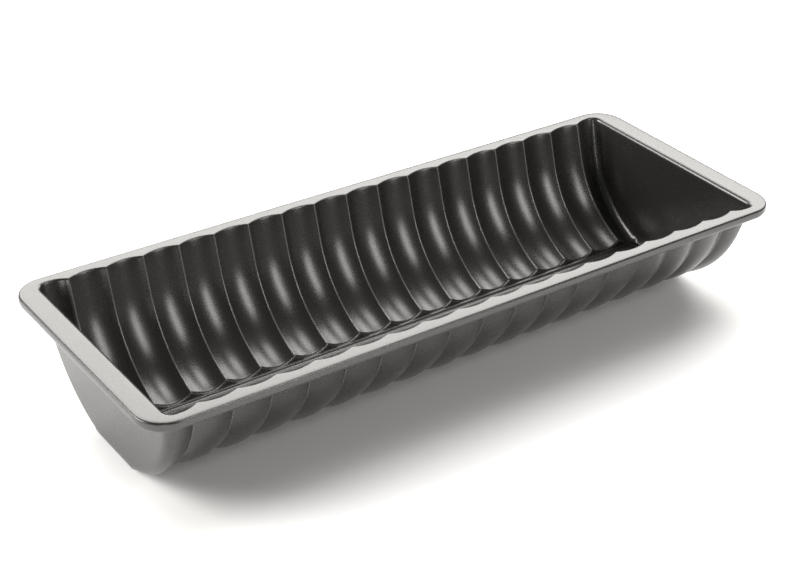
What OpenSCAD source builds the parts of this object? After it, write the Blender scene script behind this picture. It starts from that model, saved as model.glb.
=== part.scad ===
// Fluted half-round loaf pan, drawn from one blank of coated sheet steel.
// X runs along the pan, Y across it and Z up. The pan stands on Z = 0, on its flat bottom strip.

/* [Sheet] */
// Thickness of the coated sheet
sheet_t = 0.5; // [0.4:0.1:0.7]

/* [Trough] */
// Radius from the middle of the opening down to the ridges between the flutes
ridge_r = 49; // [48:0.5:50]
// Slope of the upper side walls from upright, in degrees
wall_draft = 17; // [14:1:22]
// Depth of the flat bottom strip below the lowest line of the ridges
floor_drop = 1.1; // [0.9:0.1:1.6]
// Length of the opening between the end walls, at the flange
opening_l = 284.4; // [240:0.4:320]
// Slope of the end walls from upright, in degrees
end_draft = 3; // [1:0.5:4]
// Radius where an end wall turns into the flutes
end_fillet_r = 3.5; // [2.5:0.5:5]

/* [Flutes] */
// Number of ridges between the flutes
ridge_n = 17; // [15:1:19]
// Length of each end flute, from the last ridge to the end wall
end_flute_l = 12.2; // [11:0.2:13]
// Depth of a flute below the ridges
flute_d = 1.7; // [1.5:0.1:2]
// Depth of each end flute below the ridges, where it runs into the end wall
end_flute_d = 2.2; // [2:0.1:2.5]
// Radius of a ridge's rounded crest, on the inside
crest_r = 1; // [0.9:0.1:1.2]
// Lap of a crest's circle over the two flutes beside it
crest_lap = 0.01; // [0.01:0.005:0.02]

/* [Bottom] */
// Width of the flat bottom strip, inside
floor_w = 26.4; // [24:0.4:28]
// Width of the strip's sides where they meet the ridges, inside
strip_w = 32.4; // [31:0.2:34]
// Radius where the bottom turns up into an end wall
floor_fillet_r = 4; // [3:0.5:5]

/* [Rim] */
// Least width of the rim along the sides, from the wall's line to the outside of the roll
side_rim_w = 7.25; // [7:0.05:12]
// Width of the rim across the ends, from the wall's line to the outside of the roll
end_rim_w = 10.3; // [8:0.1:14]
// Radius of the rim's corners, at the outside of the roll
corner_r = 12.5; // [10:0.5:16]
// Finest step of the pan's outer width
width_step = 0.1; // [0.1:0.1:0.5]
// Thickness of the steel wire in the roll
wire_d = 3.4; // [2:0.1:3.5]
// Clearance all round the wire in its roll
wire_gap = 0.1; // [0.05:0.05:0.15]
// Gap where the two ends of the wire meet
wire_joint = 1; // [0.5:0.1:3]

/* [Hidden] */
$fn = 96;

// The middle line of the round trough lies in the flange's top face
pan_depth = ridge_r + floor_drop;
pan_h = pan_depth + sheet_t;
pan_l = opening_l + 2 * end_rim_w;
pan_w = width_step * round(2 * (ridge_r / cos(wall_draft) + side_rim_w) / width_step);
overrun = sheet_t;

// Each flute is an arc, and a small crest arc joins the flutes on both sides of a ridge
ridge_span = opening_l - 2 * end_flute_l;
pitch = ridge_span / (ridge_n - 1);
flute_r = arc_r(pitch / 2, flute_d);
crest_c = ridge_r + crest_r;
section_r = ridge_r - flute_d;
wall_rise = (ridge_r + flute_d + sheet_t) * tan(wall_draft) + 4 * overrun;

// A plain disc closes each end flute, whose arc ends on its edge
disc_x = end_x(pan_h - pan_depth / 2, -end_fillet_r);
disc_r = ridge_r + end_flute_d;
end_flute_r = arc_r(disc_x - ridge_span / 2, disc_r - ridge_r);

// The flutes end inside the bottom strip, on a line down to its corner, and its sides slope up to the ridges
strip_turn = atan2(floor_w / 2, pan_depth);
side_h = pan_depth - sqrt(pow(ridge_r, 2) - pow(strip_w / 2, 2));
side_turn = atan2(side_h, (strip_w - floor_w) / 2);

// The roll is a tube of sheet round the wire, with a slot below the flange on its inner side
curl_r = wire_d / 2 + wire_gap + sheet_t;
path_l = pan_l - 2 * curl_r;
path_w = pan_w - 2 * curl_r;
path_r = corner_r - curl_r;
slot_turn = 70;

// Half length at height z of the space between the end walls, grown outward by g
function end_x(z, g) = opening_l / 2 + g / cos(end_draft) - (pan_h - z) * tan(end_draft);

// Point on a circle
function at_turn(r, a) = [r * cos(a), r * sin(a)];

// Radius of a flute's arc of depth d, which touches the crest arc at the distance a from its middle
function arc_r(a, d) = (pow(a, 2) + pow(d, 2)) / (2 * d) - crest_r;

// Middle of the arc of flute i, as radius and length
function arc_c(i) = i > 0 && i < ridge_n ? [ridge_r + flute_d - flute_r, (i - 1 / 2) * pitch - ridge_span / 2]
    : [disc_r - end_flute_r, i > 0 ? disc_x : -disc_x];

// Point where the crest arc round p touches the arc round c, grown outward by g
function touch(p, c, g) = p + (crest_r - g) * (c - p) / norm(c - p);

// Long section of the flutes as radius and length, grown outward by g
module flute_section(g) {
    reach = ridge_span / 2 + pitch;
    difference() {
        union() {
            translate([0, -reach]) square([section_r, 2 * reach]);
            for (i = [0:ridge_n]) translate(arc_c(i)) circle((i > 0 && i < ridge_n ? flute_r : end_flute_r) + g);
            for (i = [0:ridge_n - 1]) crest_root(arc_c(i), [crest_c, i * pitch - ridge_span / 2], arc_c(i + 1), g);
        }
        for (i = [0:ridge_n - 1]) translate([crest_c, i * pitch - ridge_span / 2]) circle(crest_r + crest_lap - g);
    }
}

// Space under the crest round p, between the flutes round c0 and c1
module crest_root(c0, p, c1, g) {
    t0 = touch(p, c0, g);
    t1 = touch(p, c1, g);
    polygon([[ridge_r - 2 * flute_d, t0.y], t0, t1, [ridge_r - 2 * flute_d, t1.y]]);
}

// Section of a plain end disc as radius and length, with its rounded edge
module disc_section(g) {
    translate([0, -end_fillet_r - overrun]) square([disc_r + g, overrun]);
    translate([0, -end_fillet_r]) square([disc_r - end_fillet_r, end_fillet_r + g]);
    translate([disc_r - end_fillet_r, -end_fillet_r]) circle(end_fillet_r + g);
}

// Carries a section from the bottom strip round both sides, then straight up the drafted walls
module sweep_trough() {
    for (side = [0, 1]) mirror([0, side, 0]) rotate([90, 0, 90]) rotate([0, 0, 180 + wall_draft]) {
        rotate_extrude(angle = 90 - wall_draft - strip_turn) children();
        rotate([90, 0, 0]) linear_extrude(wall_rise) children();
    }
}

// Carries an outline seen from the side straight across the pan
module across() {
    translate([0, pan_w / 2, 0]) rotate([90, 0, 0]) linear_extrude(pan_w) children();
}

// Side outline between the end walls, with the bottom's fillets, grown outward by g
module end_outline(g) {
    r = floor_fillet_r + g;
    z = sheet_t + floor_fillet_r;
    top = pan_h + overrun;
    x = end_x(z, -floor_fillet_r);
    edge = [x, z] + at_turn(r, -end_draft);
    polygon([[-x, z - r], [x, z - r], edge, [end_x(top, g), top], [-end_x(top, g), top], [-edge.x, edge.y]]);
    for (side = [-1, 1]) translate([side * x, z]) circle(r);
}

// Fluted trough up to the end discs' fillets
module fluted_form(g) {
    top = pan_h + 2 * overrun;
    x_low = end_x(0, -end_fillet_r);
    x_top = end_x(top, -end_fillet_r);
    intersection() {
        translate([0, 0, pan_h]) sweep_trough() flute_section(g);
        across() polygon([[-x_low, 0], [x_low, 0], [x_top, top], [-x_top, top]]);
    }
}

// Both end discs, leaning with the end walls
module end_form(g) {
    for (side = [0, 1]) mirror([side, 0, 0]) translate([opening_l / 2, 0, pan_h])
        rotate([0, end_draft, 0]) sweep_trough() disc_section(g);
}

// Bottom strip with its sloping sides, and the hollow straight above it
module strip_form(g) {
    low = floor_w / 2 + g * tan(side_turn / 2);
    high = strip_w / 2 + g / sin(side_turn);
    z = sheet_t + side_h;
    top = pan_h + 3 * overrun;
    intersection() {
        translate([-pan_l / 2, 0, 0]) rotate([90, 0, 90]) linear_extrude(pan_l)
            polygon([[-low, sheet_t - g], [low, sheet_t - g], [high, z], [high, top], [-high, top], [-high, z]]);
        across() end_outline(g);
    }
}

// Whole hollow of the pan, grown outward by g
module trough_form(g) {
    fluted_form(g);
    end_form(g);
    strip_form(g);
}

// Carries a section, drawn with X outward, round the rim's path
module sweep_rim() {
    for (turn = [0:3]) {
        along = turn % 2 == 0 ? path_l : path_w;
        out = turn % 2 == 0 ? path_w : path_l;
        rotate([0, 0, 90 * turn]) {
            translate([path_r - along / 2, out / 2, 0]) rotate([90, 0, 90])
                linear_extrude(along - 2 * path_r) children();
            translate([along / 2 - path_r, out / 2 - path_r, 0])
                rotate_extrude(angle = 90) translate([path_r, 0]) children();
        }
    }
}

// Section of the roll: a ring of sheet with its slot
module curl_section() {
    difference() {
        circle(curl_r);
        circle(curl_r - sheet_t);
        polygon([[0, 0], for (share = [0, 1 / 2, 1]) at_turn(2 * curl_r, 90 + slot_turn * share)]);
    }
}

// Outline of the flange, out to the middle of the roll
module flange_outline() {
    square([path_l, path_w - 2 * path_r], center = true);
    square([path_l - 2 * path_r, path_w], center = true);
    for (x = [-1, 1], y = [-1, 1])
        translate([x * (path_l / 2 - path_r), y * (path_w / 2 - path_r)]) circle(path_r);
}

// One pressed blank: fluted trough, bottom strip, end walls, flange and rolled edge
module pan_body() {
    color("#4a4846") difference() {
        union() {
            intersection() {
                trough_form(sheet_t);
                translate([-pan_l / 2, -pan_w / 2, 0]) cube([pan_l, pan_w, pan_h]);
            }
            translate([0, 0, pan_h - sheet_t]) linear_extrude(sheet_t) flange_outline();
            translate([0, 0, pan_h - curl_r]) sweep_rim() curl_section();
        }
        trough_form(0);
    }
}

// Steel wire inside the roll, its two ends facing each other in the middle of the far side
module rim_wire() {
    color("#9a9a98") translate([0, 0, pan_h - curl_r]) difference() {
        sweep_rim() circle(wire_d / 2);
        translate([-wire_joint / 2, path_w / 2 - wire_d, -wire_d]) cube([wire_joint, 2 * wire_d, 2 * wire_d]);
    }
}

pan_body();
rim_wire();
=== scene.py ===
import math

import bmesh
import bpy
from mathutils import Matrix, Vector


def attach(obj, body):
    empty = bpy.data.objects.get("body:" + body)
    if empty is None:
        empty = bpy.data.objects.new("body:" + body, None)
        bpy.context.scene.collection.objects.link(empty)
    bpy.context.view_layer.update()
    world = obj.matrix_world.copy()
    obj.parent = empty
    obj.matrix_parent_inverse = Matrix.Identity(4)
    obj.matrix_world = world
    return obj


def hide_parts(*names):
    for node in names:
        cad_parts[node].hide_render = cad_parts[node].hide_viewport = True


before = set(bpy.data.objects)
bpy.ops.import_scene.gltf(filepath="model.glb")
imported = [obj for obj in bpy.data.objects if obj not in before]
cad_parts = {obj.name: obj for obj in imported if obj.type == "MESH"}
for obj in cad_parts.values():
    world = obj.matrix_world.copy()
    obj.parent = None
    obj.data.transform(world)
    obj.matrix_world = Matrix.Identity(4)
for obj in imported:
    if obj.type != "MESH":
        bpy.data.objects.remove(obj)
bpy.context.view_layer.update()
scene = bpy.context.scene
mm = 0.001
print("frame loaded:", sorted(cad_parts))


class Wire:  # wraps a socket, so that an expression on wires adds its Math nodes
    def __init__(self, tree, socket=None):
        self.tree, self.socket = tree, socket

    def node(self, kind, settings=None, inputs=None, output=0):
        made = self.tree.nodes.new(kind)
        for name, value in (settings or {}).items():
            setattr(made, name, value)
        for key, value in (inputs or {}).items():
            if isinstance(value, Wire):
                self.tree.links.new(value.socket, made.inputs[key])
            else:
                made.inputs[key].default_value = value
        return Wire(self.tree, made.outputs[output])

    def math(self, operation, *values):
        return self.node("ShaderNodeMath", {"operation": operation}, dict(enumerate(values)))

    def mix(self, share, first, second):  # sockets 0, 6 and 7 take the factor and the two colours
        return self.node("ShaderNodeMix", {"data_type": "RGBA"}, {0: share, 6: first, 7: second}, 2)

    def __add__(self, other):
        return self.math("ADD", self, other)

    def __radd__(self, other):
        return self.math("ADD", other, self)

    def __sub__(self, other):
        return self.math("SUBTRACT", self, other)

    def __rsub__(self, other):
        return self.math("SUBTRACT", other, self)

    def __mul__(self, other):
        return self.math("MULTIPLY", self, other)

    def __rmul__(self, other):
        return self.math("MULTIPLY", other, self)

    def __truediv__(self, other):
        return self.math("DIVIDE", self, other)

    def __rtruediv__(self, other):
        return self.math("DIVIDE", other, self)

    def __lt__(self, other):
        return self.math("LESS_THAN", self, other)

    def __gt__(self, other):
        return self.math("GREATER_THAN", self, other)


def sinD(angle):
    return math.sin(math.radians(angle))


def cosD(angle):
    return math.cos(math.radians(angle))


def tanD(angle):
    return math.tan(math.radians(angle))


def mixed(first, second, share):
    return first + (second - first) * share


def eased(value, low, high):  # 0 below low, 1 above high, smooth between them
    share = min(max((value - low) / (high - low), 0), 1)
    return share * share * (3 - 2 * share)


def smoothMax(first, second, blend):  # the Math node's Smooth Maximum
    near = max(blend - abs(first - second), 0) / blend
    return max(first, second) + near ** 3 * blend / 6


# Pan: one closed shell of rings round the trough, from the inner floor over the rim to the outer floor
pan = {  # millimetres, degrees and counts
    "height": 50.6, "sheet": 0.5, "ridgeR": 49.0, "wallDraft": 17.0, "openingHalf": 142.2, "endDraft": 3.0,
    "endFilletR": 3.5, "ridgeCount": 17, "ridgeSpan": 260.0, "fluteDepth": 1.7, "endFluteDepth": 2.2,
    "crestR": 1.0, "crestTurn": 23.64, "floorHalf": 14.5, "stripHalf": 16.2, "floorFilletR": 4.0,
    "floorEdgeR": 2.4, "stripCornerR": 2.5, "stripCornerTurns": (67, 71.5), "flareTurn": 20, "blend": 0.8,
    "sideBendR": 1.0, "endBendR": 2.0, "rollR": 2.3, "rollTurn": 290.0, "rollEdge": 0.38, "lipTurn": 4,
    # The stop in the next line is where the painted crest highlight ends, below the flange's top
    "pathHalfL": 150.2, "pathHalfW": 56.2, "pathR": 10.2, "paintedHighlightStop": 0.65, "mergeGap": 0.002,
    "fluteSteps": 12, "endSteps": 9, "cornerSteps": 8, "endWallSteps": 22,  # columns of the shell
    "crestShares": (-1, -0.5, 0, 0.5, 1),
    "floorShares": (0, 0.3, 0.6, 0.85), "edgeShares": (1, 0.66, 0.33, 0),  # and its rows, from the floor up
    "lowTurns": (73.6, 72.9, 72.2, 71.5, 70.9, 70.3, 69.6, 68.6, 67.4, 66), "wallSteps": 19,
    "upperDepths": (11.8, 9, 6.2, 3.6), "bendShares": (1, 0.82, 0.64, 0.48, 0.32, 0.16, 0),
    "flangeShares": (0.3, 0.65), "rollSteps": 22, "innerSteps": 10, "underShares": (0, 0.25, 0.5, 0.75, 1),
}
openReach = -100.0  # where no strip's side holds the flutes back


def wallX(z, grow):  # half length inside the end walls at z, which is 0 at the flange's top
    plane = pan["openingHalf"] + grow / cosD(pan["endDraft"]) + z * tanD(pan["endDraft"])
    radius = pan["floorFilletR"] + grow
    below = pan["sheet"] - pan["height"] + pan["floorFilletR"] - z
    return plane - (radius - math.sqrt(max(radius ** 2 - max(below, 0) ** 2, 0)))


def stripLine(grow):  # upper and lower corner of the strip's side
    turn = math.degrees(math.atan2(stripRise, pan["stripHalf"] - pan["floorHalf"]))
    top = (pan["stripHalf"] + grow / sinD(turn), pan["sheet"] - pan["height"] + stripRise)
    low = (pan["floorHalf"] + grow * tanD(turn / 2), pan["sheet"] - pan["height"] - grow)
    return top, low, turn


stripRise = pan["height"] - pan["sheet"] - math.sqrt(pan["ridgeR"] ** 2 - pan["stripHalf"] ** 2)


def stripReach(angle, grow):  # how far the strip's side lies beyond the ridges, seen from the middle line
    top, low, _ = stripLine(grow)
    if angle < math.degrees(math.atan2(-top[1], top[0])):
        return top[0] / cosD(angle) - pan["ridgeR"]
    across, down = low[0] - top[0], low[1] - top[1]
    return (top[0] * down - top[1] * across) / (cosD(angle) * down + sinD(angle) * across) - pan["ridgeR"]


def listStations():  # (kind, side of x, value, side of y) once round a ring, from the middle of one end
    ends = [("end", 1, i / pan["endWallSteps"]) for i in range(pan["endWallSteps"])]
    corners = [("corner", 1, 90 * (1 - i / pan["cornerSteps"])) for i in range(pan["cornerSteps"] + 1)]
    beyond = [("beyond", 1, 1 - i / pan["endSteps"]) for i in range(1, pan["endSteps"] + 1)]
    pitch = pan["ridgeSpan"] / (pan["ridgeCount"] - 1)
    gap = (pitch - 2 * crestTouch) / pan["fluteSteps"]
    places = []
    for ridge in range(pan["ridgeCount"]):
        middle = ridge * pitch - pan["ridgeSpan"] / 2
        places += [middle + crestTouch * share for share in pan["crestShares"]]
        if ridge < pan["ridgeCount"] - 1:
            places += [middle + crestTouch + gap * i for i in range(1, pan["fluteSteps"])]
    along = [("side", 1, x) for x in sorted(places, reverse=True)][1:-1]
    back = [(kind, -1, value) for kind, _, value in reversed(ends[1:] + corners + beyond)]
    half = ends + corners + beyond + along + back
    mirrored = [(kind, sign, value, -1) for kind, sign, value in reversed(half[1:])]
    return [(*station, 1) for station in half] + [("end", -1, 0, 1)] + mirrored


crestTouch = pan["crestR"] * sinD(pan["crestTurn"])  # half width of a crest's arc
stations = listStations()
lastRidge = pan["ridgeSpan"] / 2 + crestTouch


def wallRing(y, z, dy, dz, reach, grow, planR=0.0):  # one ring on the trough's walls
    fillet = pan["endFilletR"] + grow
    endDepth = smoothMax(pan["endFluteDepth"] + grow - fillet, reach, pan["blend"])
    if dy == dz == 0:
        endDepth = 0
    endY, endZ = y + dy * endDepth - planR, z + dz * endDepth
    endX = wallX(endZ, grow)
    lean = tanD(pan["endDraft"]) * dz if endZ > pan["floorFilletR"] - pan["height"] else 0
    ring = []
    for kind, sx, value, sy in stations:
        outward, inset = (0, sy * dy, dz), 0
        if kind == "end":
            spot, outward = (sx * endX, sy * value * endY, endZ), (0, 0, 0)
        elif kind == "corner":
            inset = fillet * (1 - cosD(value))
            x = endX - fillet * (1 - sinD(value)) - lean * endDepth
            spot = (sx * x, sy * (y - planR * (1 - cosD(value))), z)
            outward = (sx * lean, sy * dy, dz)
        elif kind == "beyond":
            spot = (sx * mixed(lastRidge, endX - fillet, value), sy * y, z)
        else:
            spot = (value, sy * y, z)
        ring.append((spot, outward, inset, reach, grow))
    return ring


def roundRing(angle, grow):  # a ring on the round part, where the flutes run out to the strip
    fade = tanD(pan["wallDraft"]) * (1 - eased(angle, pan["wallDraft"], pan["wallDraft"] + pan["flareTurn"]))
    dy, dz = cosD(angle) + sinD(angle) * fade, cosD(angle) * fade - sinD(angle)
    planR = pan["stripCornerR"] * eased(angle, *pan["stripCornerTurns"])
    reach = stripReach(angle, grow)
    return wallRing(pan["ridgeR"] * cosD(angle), -pan["ridgeR"] * sinD(angle), dy, dz, reach, grow, planR)


def upperRing(depth, grow):  # a ring on the straight drafted walls
    slope = cosD(pan["wallDraft"])
    y = pan["ridgeR"] / slope - depth * tanD(pan["wallDraft"])
    return wallRing(y, -depth, 1 / slope, 0, openReach, grow)


def edgeRing(share, grow):  # a ring on the rounded corner between the strip's side and the floor
    _, low, turn = stripLine(grow)
    radius = pan["floorEdgeR"] + grow
    start = radius * tanD(turn / 2)
    angle = turn * (1 - share)
    y = low[0] - start + radius * sinD(angle)
    z = low[1] + radius * (1 - cosD(angle))
    return wallRing(y, z, 0, 0, 0, grow, pan["stripCornerR"])


def floorRing(edge, share):  # the floor's ring, drawn in to the middle line
    ring = []
    reachX = max(spot[0] for spot, *_ in edge) - pan["floorHalf"]
    for (x, y, z), outward, inset, reach, grow in edge:
        axis = min(max(x, -reachX), reachX)
        ring.append(((axis + (x - axis) * share, y * share, z), outward, inset, reach, grow))
    return ring


def rimPath(kind, sx, value, sy):  # middle line of the roll, and the way outward from it
    straightX = pan["pathHalfL"] - pan["pathR"]
    straightY = pan["pathHalfW"] - pan["pathR"]
    if kind == "end":
        return (sx * pan["pathHalfL"], sy * value * straightY), (sx, 0)
    if kind == "corner":
        x = sx * (straightX + pan["pathR"] * sinD(value))
        y = sy * (straightY + pan["pathR"] * cosD(value))
        return (x, y), (sx * sinD(value), sy * cosD(value))
    x = sx * mixed(lastRidge, straightX, value) if kind == "beyond" else value
    return (x, sy * pan["pathHalfW"]), (0, sy)


def bendRing(share, grow, out=0.0):  # share 1 at the wall, 0 at the flange; out 1 at the roll's middle line
    fillet = pan["endFilletR"] + grow
    slope = cosD(pan["wallDraft"])
    topX = wallX(0, grow)
    endY = (pan["ridgeR"] + pan["endFluteDepth"] + grow - fillet) / slope
    ring = []
    for kind, sx, value, sy in stations:
        part = {"end": 1, "corner": value / 90}.get(kind, 0)
        draft = mixed(pan["wallDraft"], pan["endDraft"], part)
        radius = mixed(pan["sideBendR"], pan["endBendR"], part)
        turn = share * (90 - draft)
        offset = radius * tanD((90 - draft) / 2) - (radius - grow) * sinD(turn) - grow / cosD(draft)
        depth = radius - (radius - grow) * cosD(turn)
        x, y, inset = value, pan["ridgeR"] / slope + offset, 0
        outward = (0, sy / slope, 0)
        if kind == "end":
            x, y, outward = sx * (topX + offset), value * endY, (0, 0, 0)
        elif kind == "corner":
            inset = fillet * (1 - cosD(value))
            x = sx * (topX - fillet * (1 - sinD(value)) + offset * sinD(value))
            y = pan["ridgeR"] / slope + offset * cosD(value)
        elif kind == "beyond":
            x = sx * mixed(lastRidge, topX - fillet, value)
        (pathX, pathY), _ = rimPath(kind, sx, value, sy)
        spot = (mixed(x, pathX, out), mixed(sy * y, pathY, out), -depth)
        ring.append((spot, tuple(c * (1 - out) for c in outward), inset, openReach, grow))
    return ring


def rollRing(turn, radius):  # a ring on the roll, turned down from its top
    ring = []
    for station in stations:
        (x, y), (ax, ay) = rimPath(*station)
        side, lift = radius * sinD(turn), radius * cosD(turn)
        if turn < 90:  # the flange stays flat until close to the edge
            side, lift = radius * sinD(turn) ** pan["rollEdge"], radius * cosD(turn) ** pan["rollEdge"]
        ring.append(((x + ax * side, y + ay * side, lift - pan["rollR"]), (0, 0, 0), 0, openReach, 0))
    return ring


def trough(grow):  # rings of one face of the sheet, from the middle of the floor up to the bend
    steps = pan["wallSteps"]
    edges = [edgeRing(share, grow) for share in pan["edgeShares"]]
    rings = [floorRing(edges[0], share) for share in pan["floorShares"]]
    rings += edges
    rings += [roundRing(angle, grow) for angle in pan["lowTurns"]]
    turns = [mixed(pan["lowTurns"][-1], pan["wallDraft"], i / steps) for i in range(1, steps + 1)]
    rings += [roundRing(angle, grow) for angle in turns]
    return rings + [upperRing(depth, grow) for depth in pan["upperDepths"]]


def shellRings():
    inside, outside = trough(0.0), trough(pan["sheet"])
    outer, inner, turn = pan["rollR"], pan["rollR"] - pan["sheet"], pan["rollTurn"]
    rings = inside + [bendRing(share, 0.0) for share in pan["bendShares"]]
    rings += [bendRing(0, 0.0, out) for out in pan["flangeShares"]]
    rings += [rollRing(turn * i / pan["rollSteps"], outer) for i in range(pan["rollSteps"] + 1)]
    rings += [rollRing(turn + pan["lipTurn"], mixed(inner, outer, 0.5))]
    rings += [rollRing(turn * (1 - i / pan["innerSteps"]), inner) for i in range(pan["innerSteps"] + 1)]
    rings += [bendRing(0, pan["sheet"], out) for out in reversed(pan["flangeShares"])]
    rings += [bendRing(share, pan["sheet"]) for share in pan["underShares"]]
    return rings + outside[::-1]


def shellMesh():
    rings = shellRings()
    count = len(stations)
    points = [spot for ring in rings for spot, *_ in ring]
    faces = []
    for row in range(len(rings) - 1):
        for i in range(count):
            nextI = (i + 1) % count
            low, high = row * count, (row + 1) * count
            faces.append((low + i, low + nextI, high + nextI, high + i))
    mesh = bpy.data.meshes.new("panShell")
    mesh.from_pydata([(x * mm, y * mm, (z + pan["height"]) * mm) for x, y, z in points], [], faces)
    flat = [entry for ring in rings for entry in ring]
    for name, column in (("inset", 2), ("reach", 3), ("grow", 4)):
        layer = mesh.attributes.new(name, "FLOAT", "POINT")
        layer.data.foreach_set("value", [entry[column] * mm for entry in flat])
    layer = mesh.attributes.new("outward", "FLOAT_VECTOR", "POINT")
    layer.data.foreach_set("vector", [part for entry in flat for part in entry[1]])
    print("shell rings:", len(rings), "points in a ring:", count)
    return mesh


# Flutes: Geometry Nodes press them into the shell and mark the ridges' crests for a painted highlight
flutes = {
    "Ridge Count": pan["ridgeCount"], "Ridge Span": pan["ridgeSpan"] * mm,
    "Flute Depth": pan["fluteDepth"] * mm, "End Depth": pan["endFluteDepth"] * mm,
    "Crest Radius": pan["crestR"] * mm, "Blend": pan["blend"] * mm,
    "End Start": wallX(-pan["height"] / 2, -pan["endFilletR"]) * mm,
    # Height below which the ridges' crests carry the painted highlight
    "Painted Highlight Top": (pan["height"] - pan["paintedHighlightStop"]) * mm,
}


def fluteTree(material):
    tree = bpy.data.node_groups.new("pressFlutes", "GeometryNodeTree")
    tree.interface.new_socket("Geometry", in_out="INPUT", socket_type="NodeSocketGeometry")
    for name, value in flutes.items():
        kind = "NodeSocketInt" if isinstance(value, int) else "NodeSocketFloat"
        tree.interface.new_socket(name, in_out="INPUT", socket_type=kind)
    tree.interface.new_socket("Coating", in_out="INPUT", socket_type="NodeSocketMaterial")
    tree.interface.new_socket("Geometry", in_out="OUTPUT", socket_type="NodeSocketGeometry")
    base = Wire(tree)
    start = tree.nodes.new("NodeGroupInput")
    given = {socket.name: Wire(tree, socket) for socket in start.outputs if socket.name}
    span, depth, endDepth = given["Ridge Span"], given["Flute Depth"], given["End Depth"]
    crest, blend = given["Crest Radius"], given["Blend"]

    def read(name, kind="FLOAT"):
        return base.node("GeometryNodeInputNamedAttribute", {"data_type": kind}, {"Name": name})

    place = base.node("GeometryNodeInputPosition")
    x, z = [base.node("ShaderNodeSeparateXYZ", None, {0: place}, axis) for axis in "XZ"]
    inset, reach, grow = read("inset"), read("reach"), read("grow")
    outward = read("outward", "FLOAT_VECTOR")
    away = base.math("ABSOLUTE", x)
    pitch = span / (given["Ridge Count"] - 1)
    turns = (x + span / 2) / pitch
    fromRidge = base.math("ABSOLUTE", turns - base.math("ROUND", turns)) * pitch
    atEnd = away > span / 2
    inMiddle = 1 - atEnd
    halfWidth = inMiddle * pitch / 2 + atEnd * (given["End Start"] - span / 2)
    deep = inMiddle * depth + atEnd * endDepth
    offRidge = inMiddle * fromRidge + atEnd * (away - span / 2)
    radius = (halfWidth * halfWidth + deep * deep) / (2 * deep) - crest
    offMiddle = base.math("MAXIMUM", halfWidth - offRidge, 0)
    tip = crest - grow
    crestHalf = tip * halfWidth / (radius + crest)
    onCrest = offRidge < crestHalf
    crestPress = crest - base.math("SQRT", tip * tip - offRidge * offRidge)
    bigger = radius + grow
    flutePress = deep - radius + base.math("SQRT", bigger * bigger - offMiddle * offMiddle)
    press = onCrest * crestPress + (1 - onCrest) * flutePress
    pressed = base.math("SMOOTH_MAX", press - inset, reach, blend)
    shift = base.node("ShaderNodeVectorMath", {"operation": "SCALE"}, {0: outward, "Scale": pressed})
    onWall = base.node("ShaderNodeVectorMath", {"operation": "LENGTH"}, {0: outward}, "Value")
    # Painted highlight: a lighter colour along each ridge line, standing in for the lamps' reflection on the
    # crest's small radius
    onRidge = ((press - inset) > reach) * (z < given["Painted Highlight Top"])
    nearCrest = base.math("MAXIMUM", 1 - offRidge / crestHalf, 0)
    paintedCrestHighlight = base.math("MINIMUM", nearCrest * 2, 1) * onRidge * onWall  # painted highlight, full over a crest's middle half
    marked = base.node("GeometryNodeStoreNamedAttribute", {"data_type": "FLOAT", "domain": "POINT"},
                       {"Geometry": given["Geometry"], "Name": "paintedCrestHighlight", "Value": paintedCrestHighlight})
    placed = base.node("GeometryNodeSetPosition", None, {"Geometry": marked, "Offset": shift})
    smooth = base.node("GeometryNodeSetShadeSmooth", None, {0: placed})
    real = base.node("GeometryNodeRealizeInstances", None, {0: smooth})
    painted = base.node("GeometryNodeSetMaterial", None, {"Geometry": real, "Material": given["Coating"]})
    finish = tree.nodes.new("NodeGroupOutput")
    tree.links.new(painted.socket, finish.inputs[0])
    return tree


def pressedPan(material):
    shell = bpy.data.objects.new("panShell", shellMesh())
    scene.collection.objects.link(shell)
    press = shell.modifiers.new("pressFlutes", "NODES")
    press.node_group = fluteTree(material)
    for item in press.node_group.interface.items_tree:
        if item.in_out == "INPUT" and item.name in flutes:
            press[item.identifier] = flutes[item.name]
        if item.in_out == "INPUT" and item.name == "Coating":
            press[item.identifier] = material
    graph = bpy.context.evaluated_depsgraph_get()
    mesh = bpy.data.meshes.new_from_object(shell.evaluated_get(graph), depsgraph=graph)
    mesh.name = "panPressed"
    shell.modifiers.remove(press)
    work = bmesh.new()
    work.from_mesh(mesh)
    bmesh.ops.remove_doubles(work, verts=work.verts, dist=pan["mergeGap"] * mm)
    bmesh.ops.recalc_face_normals(work, faces=work.faces)
    openEdges = sum(not edge.is_manifold for edge in work.edges)
    print("pan faces:", len(work.faces), "edges that aren't shared by two faces:", openEdges)
    work.to_mesh(mesh)
    work.free()
    for name in ("inset", "reach", "grow", "outward"):
        if name in mesh.attributes:
            mesh.attributes.remove(mesh.attributes[name])
    bpy.data.objects.remove(shell)
    made = bpy.data.objects.new("panPressed", mesh)
    scene.collection.objects.link(made)
    return made


# Finishes
coating = {
    # The third colour and the share after it are a painted highlight on the ridges' crests
    "deep": (0.016, 0.0152, 0.0142), "fleck": (0.05, 0.0475, 0.0445), "paintedCrestHighlight": (0.2, 0.193, 0.183),
    "paintedHighlightShare": 0.8, "roughness": 0.28, "ior": 1.75, "bump": 0.06, "bumpDepth": 0.00005,
    "grainScale": 1900.0, "grainDetail": 3.0, "grainRoughness": 0.65, "cloudScale": 60.0, "cloudDetail": 2.0,
    "fleckScale": 1300.0, "fleckSize": 0.32, "fleckGain": 2.4, "grainGain": 0.5, "paleShare": 0.12,
    "grainGloss": 0.08, "cloudGloss": 0.03,
}


def centred(texture):  # noise lies round 0.5
    return texture - 0.5


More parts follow.
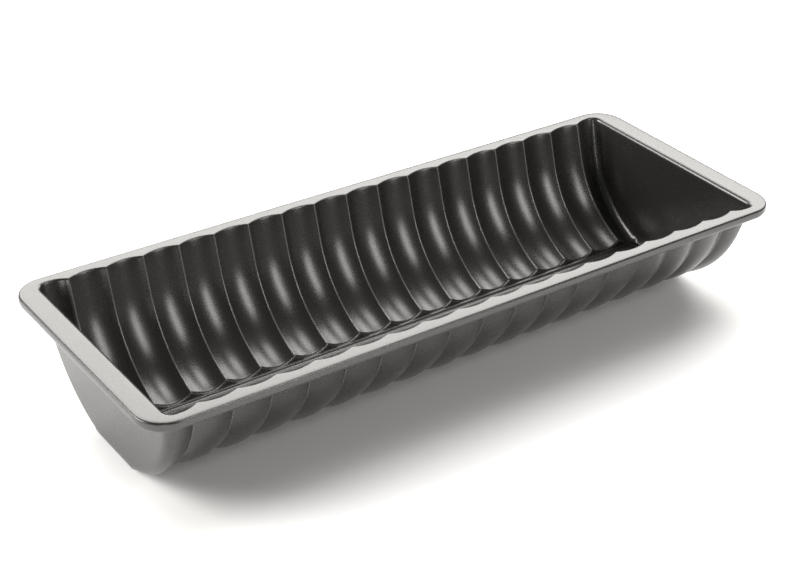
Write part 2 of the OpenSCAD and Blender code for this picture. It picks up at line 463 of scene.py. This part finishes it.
def coatingMaterial():
    made = bpy.data.materials.new("coatedSteel")
    made.use_nodes = True
    tree = made.node_tree
    shader = tree.nodes["Principled BSDF"]
    base = Wire(tree)
    place = base.node("ShaderNodeTexCoord", output="Object")
    grainInputs = {"Vector": place, "Scale": coating["grainScale"], "Detail": coating["grainDetail"],
                   "Roughness": coating["grainRoughness"]}
    cloudInputs = {"Vector": place, "Scale": coating["cloudScale"], "Detail": coating["cloudDetail"]}
    grain = base.node("ShaderNodeTexNoise", None, grainInputs)
    cloud = base.node("ShaderNodeTexNoise", None, cloudInputs)
    fleckInputs = {"Vector": place, "Scale": coating["fleckScale"]}
    flecks = base.node("ShaderNodeTexVoronoi", {"feature": "F1"}, fleckInputs)
    bright = base.math("MAXIMUM", coating["fleckSize"] - flecks, 0) * coating["fleckGain"]
    share = base.math("MINIMUM", bright + centred(grain) * coating["grainGain"] + coating["paleShare"], 1)
    colour = base.mix(base.math("MAXIMUM", share, 0), (*coating["deep"], 1), (*coating["fleck"], 1))
    paintedCrestHighlight = base.node("ShaderNodeAttribute", {"attribute_name": "paintedCrestHighlight"}, output="Fac")  # painted highlight on the ridges' crests
    colour = base.mix(paintedCrestHighlight * coating["paintedHighlightShare"], colour, (*coating["paintedCrestHighlight"], 1))
    tree.links.new(colour.socket, shader.inputs["Base Color"])
    spread = centred(grain) * coating["grainGloss"]
    rough = coating["roughness"] + spread + centred(cloud) * coating["cloudGloss"]
    tree.links.new(rough.socket, shader.inputs["Roughness"])
    bumpInputs = {"Strength": coating["bump"], "Distance": coating["bumpDepth"], "Height": grain}
    bump = base.node("ShaderNodeBump", None, bumpInputs)
    tree.links.new(bump.socket, shader.inputs["Normal"])
    shader.inputs["IOR"].default_value = coating["ior"]
    return made


wire = {
    "deep": (0.42, 0.42, 0.41), "bright": (0.6, 0.6, 0.59), "scale": 900.0, "detail": 4.0,
    "roughness": 0.34, "gloss": 0.2,
}


def wireMaterial():
    made = bpy.data.materials.new("drawnWire")
    made.use_nodes = True
    tree = made.node_tree
    shader = tree.nodes["Principled BSDF"]
    base = Wire(tree)
    place = base.node("ShaderNodeTexCoord", output="Object")
    drawnInputs = {"Vector": place, "Scale": wire["scale"], "Detail": wire["detail"]}
    drawn = base.node("ShaderNodeTexNoise", None, drawnInputs)
    colour = base.mix(drawn, (*wire["deep"], 1), (*wire["bright"], 1))
    tree.links.new(colour.socket, shader.inputs["Base Color"])
    rough = wire["roughness"] + centred(drawn) * wire["gloss"]
    tree.links.new(rough.socket, shader.inputs["Roughness"])
    shader.inputs["Metallic"].default_value = 1.0
    return made


coated = coatingMaterial()
panPressed = pressedPan(coated)
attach(panPressed, "root")
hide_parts("pan_body")
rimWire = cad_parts["rim_wire"]
rimWire.data.materials.clear()
rimWire.data.materials.append(wireMaterial())
print("pan and wire finished")

# Floor, light and camera
studio = {  # metres
    "floorHalf": 4.0, "floorDrop": 0.0002, "floorShade": (0.9, 0.9, 0.9), "floorRoughness": 0.9,
    "floorGlow": 0.6, "glowHalfX": 0.12, "glowHalfY": 0.042, "glowFade": 0.055,
    "lightShade": (1.0, 0.98, 0.95), "lightCentre": (0, 0, 0.03), "worldStrength": 0.1,
}


def plainFloor():
    half = studio["floorHalf"]
    corners = [(-half, -half, 0), (half, -half, 0), (half, half, 0), (-half, half, 0)]
    mesh = bpy.data.meshes.new("floor")
    mesh.from_pydata(corners, [], [(0, 1, 2, 3)])
    made = bpy.data.objects.new("floor", mesh)
    made.location.z = -studio["floorDrop"]
    scene.collection.objects.link(made)
    material = bpy.data.materials.new("paleFloor")
    material.use_nodes = True
    tree = material.node_tree
    shader = tree.nodes["Principled BSDF"]
    base = Wire(tree)
    place = base.node("ShaderNodeTexCoord", output="Object")
    x, y = [base.node("ShaderNodeSeparateXYZ", None, {0: place}, axis) for axis in "XY"]
    # Painted light and shade: the floor glows like a lamp away from the pan, and the glow fades out round
    # the pan as a painted contact shadow
    beyondX = base.math("MAXIMUM", base.math("ABSOLUTE", x) - studio["glowHalfX"], 0)
    beyondY = base.math("MAXIMUM", base.math("ABSOLUTE", y) - studio["glowHalfY"], 0)
    away = base.math("SQRT", beyondX * beyondX + beyondY * beyondY)
    share = base.math("MINIMUM", away / studio["glowFade"], 1)  # no glow under the pan; the glow is painted light, and its fade round the pan paints a contact shadow
    colour = base.mix(share * share * (3 - 2 * share), (0, 0, 0, 1), (1, 1, 1, 1))
    tree.links.new(colour.socket, shader.inputs["Emission Color"])
    shader.inputs["Base Color"].default_value = (*studio["floorShade"], 1)
    shader.inputs["Roughness"].default_value = studio["floorRoughness"]
    shader.inputs["Emission Strength"].default_value = studio["floorGlow"]
    mesh.materials.append(material)


def softLight(name, azimuth, elevation, distance, size, power):  # azimuth from +Y towards +X, in degrees
    data = bpy.data.lights.new(name, "AREA")
    data.shape = "RECTANGLE"
    data.size, data.size_y, data.energy = size[0], size[1], power
    data.color = studio["lightShade"]
    made = bpy.data.objects.new(name, data)
    away = Vector((sinD(azimuth) * cosD(elevation), cosD(azimuth) * cosD(elevation), sinD(elevation)))
    made.location = away * distance + Vector(studio["lightCentre"])
    made.rotation_euler = (-away).to_track_quat("-Z", "Y").to_euler()
    made.visible_camera = False
    scene.collection.objects.link(made)


lights = {  # azimuth, elevation, distance, width and height, power in watts
    "backPanel": (37, 36, 1.8, (2.4, 1.1), 47.0),
    "frontBox": (156, 31, 1.5, (0.36, 0.95), 7.2),
    "topBox": (80, 68, 1.5, (0.5, 0.4), 4.2),
    "cameraBox": (212, 10, 1.4, (0.25, 0.35), 1.8),
    "leftBox": (-58, 30, 1.6, (1.1, 0.8), 30.0),
}

cameraSetup = {  # metres, degrees, and millimetres for the lens and the sensor
    "place": (-0.36134, -0.50098, 0.3964), "turn": (58.9043, -1.6732, -36.3076), "lens": 78.73,
    "sensor": 36.0, "shiftX": -0.0753, "shiftY": 0.0073, "nearest": 0.01, "farthest": 50.0,
}


def photoCamera():
    data = bpy.data.cameras.new("photoCamera")
    data.sensor_width, data.lens = cameraSetup["sensor"], cameraSetup["lens"]
    data.shift_x, data.shift_y = cameraSetup["shiftX"], cameraSetup["shiftY"]
    data.clip_start, data.clip_end = cameraSetup["nearest"], cameraSetup["farthest"]
    made = bpy.data.objects.new("photoCamera", data)
    made.location = cameraSetup["place"]
    made.rotation_euler = [math.radians(angle) for angle in cameraSetup["turn"]]
    scene.collection.objects.link(made)
    scene.camera = made


plainFloor()
for name, setup in lights.items():
    softLight(name, *setup)
world = bpy.data.worlds.new("studio")
world.use_nodes = True
scene.world = world
world.node_tree.nodes["Background"].inputs["Color"].default_value = (*studio["lightShade"], 1)
world.node_tree.nodes["Background"].inputs["Strength"].default_value = studio["worldStrength"]
photoCamera()
scene.view_settings.view_transform = "Standard"
print("studio set")
